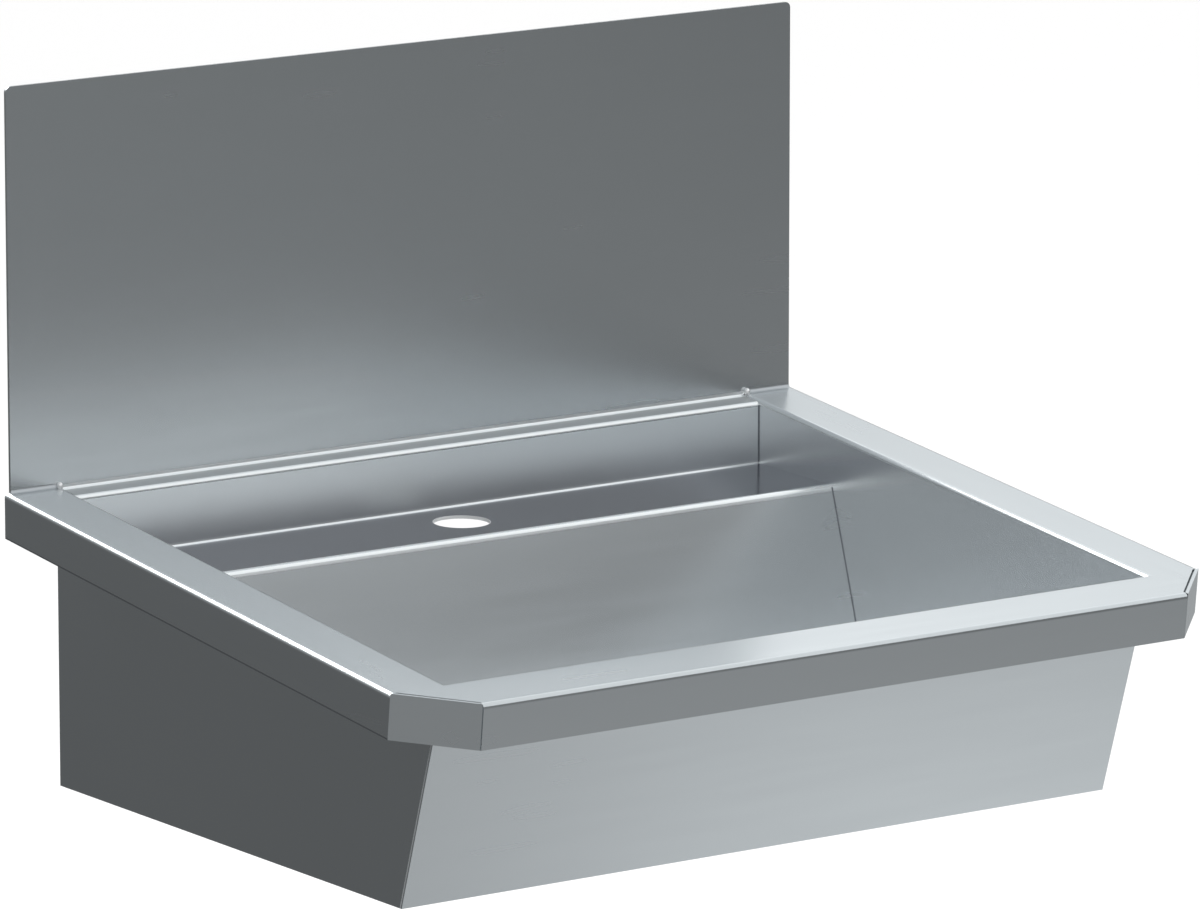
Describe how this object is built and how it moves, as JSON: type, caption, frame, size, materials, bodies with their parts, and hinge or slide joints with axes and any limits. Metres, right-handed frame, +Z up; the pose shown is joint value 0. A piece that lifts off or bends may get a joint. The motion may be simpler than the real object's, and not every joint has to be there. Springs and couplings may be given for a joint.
{
  "type": "hand wash sink",
  "caption": "Wall-hung stainless steel hand wash sink with a tall splashback, a rim that slopes to the front, cut-off front corners, a sunken tap ledge and a deep bowl.",
  "frame": {"origin": "on the wall plane, in the middle of the splashback's back face, level with the back end of the side rims", "axes": "+X to the right as seen from the front, +Y into the wall, +Z up; the front of the sink faces -Y"},
  "size_m": [0.58, 0.4497, 0.453],
  "materials": {
    "brushed_sheet": "satin, grain along each sheet",
    "weld_metal": "dressed weld",
    "fitting_steel": "polished",
    "waste_chrome": "bright",
    "nut_brass": "turned",
    "gasket_rubber": "matt",
    "damping_rubber": "matt, self-adhesive",
    "washer_plastic": "matt"
  },
  "bodies": {
    "root": {"back_panel": "brushed_sheet", "left_cheek": "brushed_sheet", "right_cheek": "brushed_sheet", "front_panel": "brushed_sheet", "left_corner_plate": "brushed_sheet", "right_corner_plate": "brushed_sheet", "bowl_floor": "brushed_sheet", "left_wall_angle": "brushed_sheet", "right_wall_angle": "brushed_sheet", "rear_brace": "brushed_sheet", "rim_welds": "weld_metal", "damping_pads": "damping_rubber", "waste_body": "waste_chrome", "waste_grate": "fitting_steel", "grate_screw": "fitting_steel", "waste_top_gasket": "gasket_rubber", "waste_bottom_gasket": "gasket_rubber", "waste_slip_washer": "washer_plastic", "waste_backnut": "nut_brass", "bonding_stud": "fitting_steel", "bonding_washer": "fitting_steel", "bonding_nut": "fitting_steel"}
  },
  "joints": []
}
